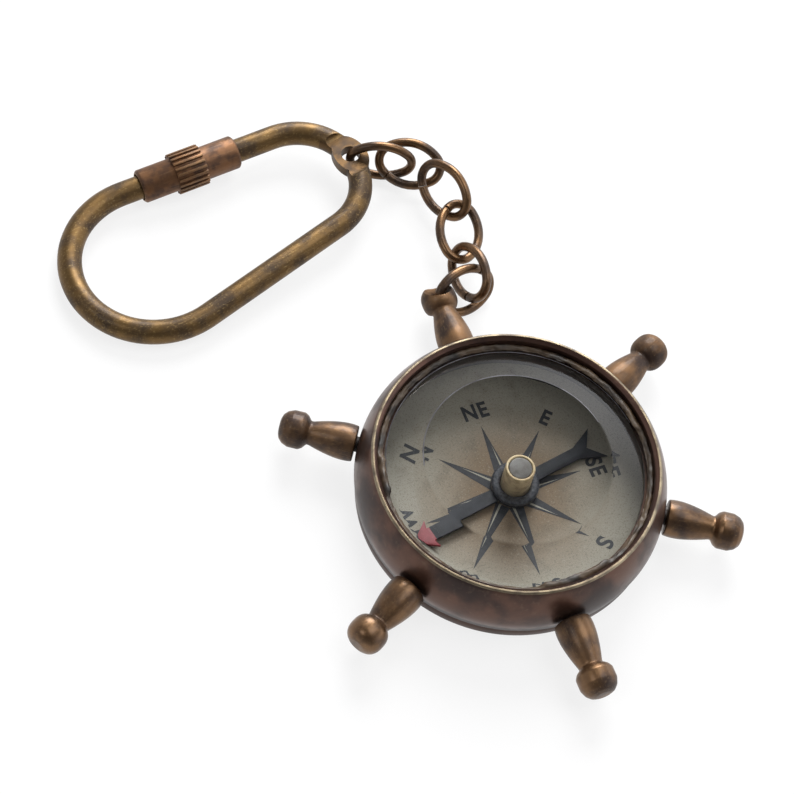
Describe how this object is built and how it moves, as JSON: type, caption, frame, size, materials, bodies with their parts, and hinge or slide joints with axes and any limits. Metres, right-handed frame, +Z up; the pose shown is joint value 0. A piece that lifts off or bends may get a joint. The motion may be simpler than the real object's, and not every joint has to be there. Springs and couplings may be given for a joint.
{
  "type": "compass keychain",
  "caption": "Antique-brass ship's-wheel compass with turned handles and a bevelled glass, on a short wire chain with a tapered screw-lock key ring.",
  "frame": {"origin": "centre of the compass's flat back, on the surface that it lies on", "axes": "+Z up through the glass, +Y towards the handle that holds the chain"},
  "size_m": [0.0747, 0.0921, 0.0103],
  "materials": {
    "case_bronze": "antiqued, mottled and rubbed",
    "handle_brass": "antiqued, rubbed bright on the knobs",
    "chain_bronze": "dark antiqued wire",
    "ring_bronze": "antiqued, scratched lengthwise",
    "sleeve_bronze": "antiqued, knurled",
    "cap_brass": "polished",
    "needle_steel": "blued, with a red tip",
    "dial_card": "printed, speckled",
    "cement": "lumpy, aged",
    "glass": "polished"
  },
  "bodies": {
    "compass": {"case_ring": "case_bronze", "back_cover": "case_bronze", "crystal": "glass", "crystal_seal": "cement", "dial": "dial_card", "pivot_pin": "needle_steel", "handle_1": "handle_brass", "handle_2": "handle_brass", "handle_3": "handle_brass", "handle_4": "handle_brass", "handle_5": "handle_brass", "handle_6": "handle_brass"},
    "needle": {"compass_needle": "needle_steel", "needle_hub": "needle_steel", "needle_cap": "cap_brass", "cap_jewel": "glass"},
    "link_1": {"chain_link_1": "chain_bronze"},
    "link_2": {"chain_link_2": "chain_bronze"},
    "link_3": {"chain_link_3": "chain_bronze"},
    "link_4": {"chain_link_4": "chain_bronze"},
    "link_5": {"chain_link_5": "chain_bronze"},
    "link_6": {"chain_link_6": "chain_bronze"},
    "ring": {"key_ring": "ring_bronze"},
    "sleeve": {"screw_sleeve": "sleeve_bronze"}
  },
  "joints": [
    {"name": "needle_turn", "type": "hinge", "parent": "compass", "child": "needle", "pos_m": [0.0007, -0.00025, 0.0014], "axis": [0, 0, 1], "continuous": true},
    {"name": "link_1_swing", "type": "hinge", "parent": "compass", "child": "link_1", "pos_m": [0.0002, 0.02822, 0.0039], "axis": [-0.0164, 0.6041, 0.7967], "range_deg": [-50, 110]},
    {"name": "link_2_swing", "type": "hinge", "parent": "link_1", "child": "link_2", "pos_m": [0.00847, 0.03043, 0.00239], "axis": [-0.0164, 0.6041, 0.7967], "range_deg": [-12, 36]},
    {"name": "link_3_swing", "type": "hinge", "parent": "link_2", "child": "link_3", "pos_m": [0.00545, 0.03598, 0.0024], "axis": [0.4726, 0.2571, 0.843], "range_deg": [-70, 26]},
    {"name": "link_4_swing", "type": "hinge", "parent": "link_3", "child": "link_4", "pos_m": [0.00851, 0.04251, 0.00384], "axis": [-0.8859, 0.3468, 0.3081], "range_deg": [-110, 16]},
    {"name": "link_5_swing", "type": "hinge", "parent": "link_4", "child": "link_5", "pos_m": [0.00522, 0.04899, 0.0049], "axis": [-0.5576, -0.1487, -0.8167], "range_deg": [-100, 22]},
    {"name": "link_6_swing", "type": "hinge", "parent": "link_5", "child": "link_6", "pos_m": [0.00002, 0.05335, 0.00355], "axis": [0.3887, 0.6618, 0.6411], "range_deg": [-6, 30]},
    {"name": "ring_swing", "type": "hinge", "parent": "link_6", "child": "ring", "pos_m": [-0.00412, 0.05406, 0.00386], "axis": [-0.0438, -0.0308, 0.9986], "range_deg": [-85, 28]},
    {"name": "sleeve_travel", "type": "slide", "parent": "ring", "child": "sleeve", "axis": [0.9865, 0.1563, 0.0481], "range_m": [0, 0.0054]}
  ]
}
